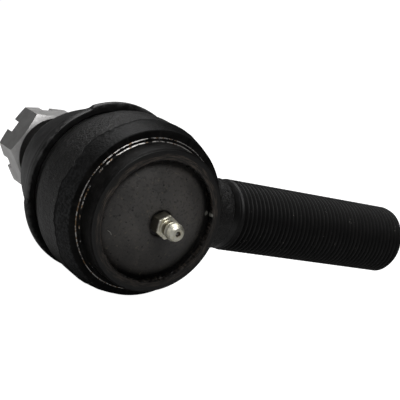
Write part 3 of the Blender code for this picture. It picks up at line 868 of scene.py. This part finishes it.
def makeBootLip():
    b = boot
    full, cut = b["lipRadius"], b["reliefRadius"]
    line = spaced(rounded([
        (31.4, 17.0), (32.6, 15.5, 0.4), (full, 13.9, 0.6), (full, b["front"], 0.9),
        (30.6, b["front"], 0.2), (30.5, 13.2), (28.5, 13.2), (28.5, 14.7), (29.3, 15.2),
        (29.3, 16.8),
    ]), 0.7)
    radius, station, angles = turnedRows(line, b["sides"])
    degrees = np.mod(np.degrees(angles), 360.0)
    inside = (np.clip((degrees - b["reliefFrom"]) / 4.0, 0, 1)
              * np.clip((b["reliefTo"] - degrees) / 3.0, 0, 1))
    inside = inside * inside * (3.0 - 2.0 * inside)
    rowRadius, rowStation = np.array(line).T
    outer = (rowRadius > 31.0) & (rowStation < 15.8)
    # the relief is a lower edge that keeps a little of the lip's roundness
    cap = full - (full - cut) * inside[None, :] - (full - np.minimum(radius, full)) * 0.35
    radius = np.where(outer[:, None], np.minimum(radius, cap), radius)
    points = aboutStud(radius, station, angles)
    soft = uneven(points, 12.0, 21) * 0.12 + uneven(points, 2.0, 22) * 0.05
    radius = radius + outer[:, None] * soft * np.where(radius > 33.5, -0.5, 1.0)
    radius = np.minimum(radius, full)
    addPiece("bootLip", turnedSolid("bootLip", radius, station, angles), "socket",
             [bootRubber], ["dust_boot"], sharp=40.0)


def makeBootDome():
    line = spaced(rounded([
        (13.8, 55.0, 0.4), (13.7, 52.2, 0.3), (15.6, 51.2, 1.5), (17.8, 49.2, 2.5),
        (20.2, 46.2, 5.0), (22.6, 42.3, 8.0), (24.4, 38.5, 8.0), (26.0, 34.0, 20.0),
        (28.0, 28.0, 30.0), (29.75, 22.4, 6.0), (30.5, 20.4, 0.25), (30.85, 20.1, 0.25),
        (31.9, 17.4, 1.5), (32.2, 15.9), (29.6, 15.9), (29.4, 17.2), (27.5, 22.6), (25.6, 28.4),
        (23.6, 34.2), (22.0, 38.3), (20.3, 41.6), (18.0, 45.0), (15.8, 47.6), (13.4, 49.2),
        (11.0, 50.2), (10.95, 55.0),
    ]), 0.9)
    radius, station, angles = turnedRows(line, boot["domeSides"])
    points = aboutStud(radius, station, angles)
    rowRadius, rowStation = np.array(line).T
    outer = (rowStation > 17.5) & (rowRadius > 14.0)
    soft = uneven(points, 11.0, 23) * 0.14 + uneven(points, 3.0, 24) * 0.04
    radius = radius + outer[:, None] * soft
    piece = addPiece("bootDome", turnedSolid("bootDome", radius, station, angles), None,
                     [bootRubber], ["dust_boot"], sharp=50.0)
    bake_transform(piece)


# Castle nut

nut = {
    "flats": 31.75, "front": 61.2, "back": 76.6, "turn": 126.6, "bore": 9.8,
    "faceInset": 1.1,       # from the flats to the flat of the chamfered face
    "countersink": 1.1,
    "slotWide": 5.0, "slotDeep": 4.8, "edge": 0.22,
}


def cutWith(piece, tool, operation):
    modifier = piece.modifiers.new(operation.title(), "BOOLEAN")
    modifier.operation = operation
    modifier.solver = "EXACT"
    modifier.object = tool


def scratchObject(name, mesh, matrix=None):
    made = bpy.data.objects.new(name, mesh)
    made.matrix_world = matrix or Matrix.Identity(4)
    bpy.context.scene.collection.objects.link(made)
    return made


def scratchTurned(name, line, sides, matrix=None):
    mesh = meshOf(name, aboutStud(*turnedRows(line, sides)), closed=False)
    return scratchObject(name, welded(mesh), matrix)


def boxMesh(name, size):
    bm = bmesh.new()
    bmesh.ops.create_cube(bm, size=1.0, matrix=Matrix.Diagonal((*[s * mm for s in size], 1.0)))
    mesh = bpy.data.meshes.new(name)
    bm.to_mesh(mesh)
    bm.free()
    return mesh


def makeNut():
    n = nut
    front, back, bore = n["front"], n["back"], n["bore"]
    corner = n["flats"] / sqrt(3.0)
    sixAngles = radians(n["turn"]) + np.arange(6) * pi / 3.0
    prism = np.array([(0.0, back), (corner, back), (corner, front), (0.0, front)])
    rows = aboutStud(np.repeat(prism[:, :1], 6, 1), np.repeat(prism[:, 1:], 6, 1), sixAngles)
    work = scratchObject("nutWork", welded(meshOf("nutWork", rows, closed=False)))
    # both faces are chamfered by a cone
    flat = n["flats"] / 2.0 - n["faceInset"]
    wide = corner + 1.0
    drop = (wide - flat) * 0.5
    cone = [(0.0, back + 0.1), (flat, back + 0.1), (wide, back - drop),
            (wide, front + drop), (flat, front - 0.1), (0.0, front - 0.1)]
    sink = n["countersink"]
    mouth = bore + sink
    hole = [(0.0, back + 1.0), (mouth, back + 1.0), (mouth, back), (bore, back - sink),
            (bore, front + sink), (mouth, front), (mouth, front - 1.0), (0.0, front - 1.0)]
    tools = [scratchTurned("nutCone", cone, 144), scratchTurned("nutHole", hole, 72)]
    cutWith(work, tools[0], "INTERSECT")
    cutWith(work, tools[1], "DIFFERENCE")
    slot = boxMesh("nutSlot", (50.0, n["slotDeep"] + 2.0, n["slotWide"]))
    middle = (back - n["slotDeep"] / 2.0 + 1.0) * mm
    for k in range(3):
        turn = Matrix.Rotation(-radians(n["turn"] + 30.0 + 60.0 * k), 4, "Y")
        tool = scratchObject("nutSlot", slot, Matrix.Translation((0.0, middle, 0.0)) @ turn)
        cutWith(work, tool, "DIFFERENCE")
        tools.append(tool)
    bevel = work.modifiers.new("Edges", "BEVEL")
    bevel.width = n["edge"] * mm
    bevel.segments = 2
    bevel.limit_method = "ANGLE"
    bevel.angle_limit = radians(24.0)
    mesh = plainMesh(work, "castleNut")
    for tool in [work, *tools]:
        bpy.data.objects.remove(tool)
    addPiece("castleNut", mesh, "stud", [nutSteel], ["castle_nut"], sharp=16.0)


# Ball stud: half ball head, taper and threaded end with a cotter pin hole

stud = {
    "ball": 19.05, "flat": -15.8, "neck": 11.6, "taperFrom": 34.0, "taperTo": 60.4,
    "slope": 1.0 / 16.0, "end": 82.0, "pinHole": 2.0, "pinAt": 74.3,
    "throat": 9.4,          # radius where the taper meets the thread
}


def makeStud(tree):
    s = stud
    small = s["neck"] - (s["taperTo"] - s["taperFrom"]) * s["slope"]
    arc = np.linspace(np.arcsin(-0.05 / s["ball"]), np.arcsin(s["flat"] / s["ball"]), 40)
    line = [(s["throat"], 60.9), (small - 0.3, s["taperTo"] + 0.1),
            (small, s["taperTo"] - 0.3), (s["neck"], s["taperFrom"]), (s["neck"], 16.0),
            (s["neck"], -0.05)]
    line += [(s["ball"] * cos(a), s["ball"] * sin(a)) for a in arc]
    line += [(3.6, s["flat"]), (3.4, s["flat"] + 0.1), (0.0, s["flat"] + 1.8)]
    shaft = meshOf("studShaft", aboutStud(*turnedRows(line, 144)), closed=False)
    # the tree cuts along x, so its thread is mirrored onto the stud's axis
    mouth = (studThread["Radius"] - studThread["Chamfer"]) / mm
    face = [(0.0, s["end"]), (mouth, s["end"])]
    top = meshOf("studFace", aboutStud(*turnedRows(face, studThread["Sides"])), closed=False)
    thread = cutThread(tree, studThread, studSteel, "studThread")
    thread.transform(Matrix(((0, 1, 0, 0), (1, 0, 0, 0), (0, 0, 1, 0), (0, 0, 0, 1))))
    thread.flip_normals()
    joined = joinMeshes("studThread", [thread, top])
    piece = scratchObject("studWork", capped(welded(joined)))
    drill = [(0.0, 15.0), (s["pinHole"], 15.0), (s["pinHole"], -15.0), (0.0, -15.0)]
    turn = Matrix.Rotation(-radians(nut["turn"] + 30.0), 4, "Y")
    lay = Matrix.Rotation(pi / 2.0, 4, "Z")
    place = Matrix.Translation((0.0, s["pinAt"] * mm, 0.0))
    tool = scratchTurned("pinDrill", drill, 24, place @ turn @ lay)
    cutWith(piece, tool, "DIFFERENCE")
    mesh = plainMesh(piece, "studThread")
    bpy.data.objects.remove(piece)
    bpy.data.objects.remove(tool)
    mesh.materials.clear()
    addPiece("studThread", mesh, "stud", [studSteel], ["ball_stud"], sharp=24.0)
    addPiece("studShaft", capped(welded(shaft)), "stud", [studSteel], ["ball_stud"])


threadTree = makeThreadTree()
makeHead()
makeNeck()
makeShank(threadTree)
makeCover()
makeFitting()
makeBootLip()
makeBootDome()
makeNut()
makeStud(threadTree)

# the bearing and the springs are shown as they stand in the frame
carried = {"rear_race": bearingSteel, "pressure_seat": bearingSteel, "half_ball": bearingSteel,
           "disc_spring": springSteel, "fitting_check_spring": springSteel,
           "boot_lip_ring": springSteel, "boot_neck_ring": springSteel}
for name, material in carried.items():
    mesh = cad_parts[name].data
    mesh.materials.clear()
    mesh.materials.append(material)
print("inner pieces painted:", len(carried))


# Stage, light and camera

studio = {
    "world": 0.02,          # light from the surroundings
    "backdrop": 1.1,        # brightness of the surroundings where the camera sees them
    "floorGlow": 1.0,
    "floorLevel": -0.0345,
    "floorSize": 6.0,
    "lens": 102.57,
    "place": (-0.22778, -0.35471, 0.08340),
    "right": (0.79934, -0.52884, 0.28528),
    "up": (-0.13226, 0.30828, 0.94206),
}


def makeFloor():
    look = Finish("paleFloor", Roughness=0.9)
    patch = look.noise(look.place, 3.0, 2.0)
    ray = look.node("ShaderNodeLightPath", output="Is Camera Ray")
    look.shade(Base_Color=look.mix(patch, grey(0.34), grey(0.38)), Emission_Color=grey(1.0),
               Emission_Strength=ray * studio["floorGlow"])
    bm = bmesh.new()
    bmesh.ops.create_grid(bm, x_segments=2, y_segments=2, size=studio["floorSize"],
                          matrix=Matrix.Translation((0.0, 0.0, studio["floorLevel"])))
    mesh = bpy.data.meshes.new("floor")
    bm.to_mesh(mesh)
    bm.free()
    mesh.materials.append(look.material)
    floor = bpy.data.objects.new("floor", mesh)
    bpy.context.scene.collection.objects.link(floor)


def makeLight(name, place, size, power, target=(0.02, 0.01, 0.0)):
    data = bpy.data.lights.new(name, "AREA")
    data.shape = "RECTANGLE"
    data.size, data.size_y = size
    data.energy = power
    light = bpy.data.objects.new(name, data)
    light.location = place
    light.rotation_euler = (Vector(target) - Vector(place)).to_track_quat("-Z", "Y").to_euler()
    bpy.context.scene.collection.objects.link(light)


def makeCamera():
    right = Vector(studio["right"]).normalized()
    back = right.cross(Vector(studio["up"])).normalized()
    up = back.cross(right)
    data = bpy.data.cameras.new("camera")
    data.lens = studio["lens"]
    data.sensor_width = 36.0
    data.clip_start = 0.01
    data.clip_end = 50.0
    camera = bpy.data.objects.new("camera", data)
    turn = Matrix((right, up, back)).transposed().to_4x4()
    camera.matrix_world = Matrix.Translation(studio["place"]) @ turn
    bpy.context.scene.collection.objects.link(camera)
    bpy.context.scene.camera = camera


def makeWorld():
    world = bpy.data.worlds.new("studio")
    world.use_nodes = True
    tree = Tree(world.node_tree)
    ground = world.node_tree.nodes["Background"]
    ground.inputs["Color"].default_value = grey(1.0)
    ray = tree.node("ShaderNodeLightPath", output="Is Camera Ray")
    seen = ray * (studio["backdrop"] - studio["world"])
    tree.plug(ground.inputs["Strength"], seen + studio["world"])
    bpy.context.scene.world = world


makeFloor()
makeLight("topSoftbox", (-0.05, 0.30, 0.75), (0.65, 0.65), 4.3)
makeLight("leftSoftbox", (-0.82, 0.15, 0.18), (0.30, 0.5), 0.5)
makeLight("frontSoftbox", (-0.20, -0.45, 0.75), (0.5, 0.5), 4.2)
makeWorld()
makeCamera()
bpy.context.scene.view_settings.view_transform = "Standard"
print("stage, lights and camera set")
